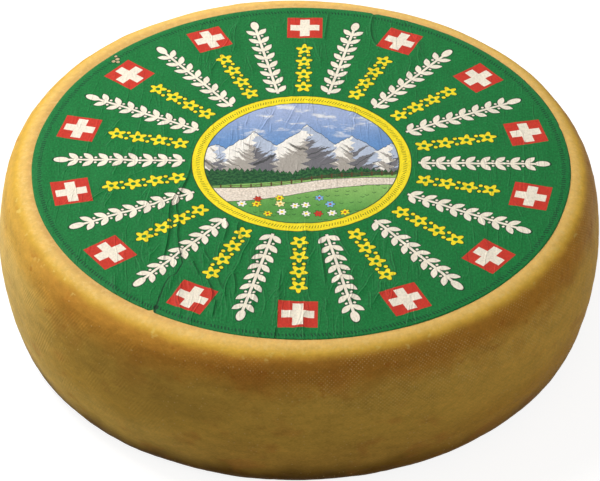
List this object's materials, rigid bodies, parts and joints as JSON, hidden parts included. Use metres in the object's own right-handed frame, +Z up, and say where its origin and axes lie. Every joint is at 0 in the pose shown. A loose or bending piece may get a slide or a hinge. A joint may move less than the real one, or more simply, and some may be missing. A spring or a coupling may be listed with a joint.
{
  "type": "mountain cheese wheel",
  "caption": "Whole round wheel of washed-rind mountain cheese with barrelled sides, rounded edges and a round printed paper label on its top face.",
  "frame": {"origin": "middle of the flat foot that the wheel rests on", "axes": "+Z up along the wheel's axis, towards the label; -Y towards the side seen in front; +X to its right"},
  "size_m": [0.3166, 0.3197, 0.0885],
  "materials": {
    "rind": "satin",
    "label_paper": "satin"
  },
  "bodies": {
    "root": {"cheese_wheel": "rind", "paper_label": "label_paper"}
  },
  "joints": []
}
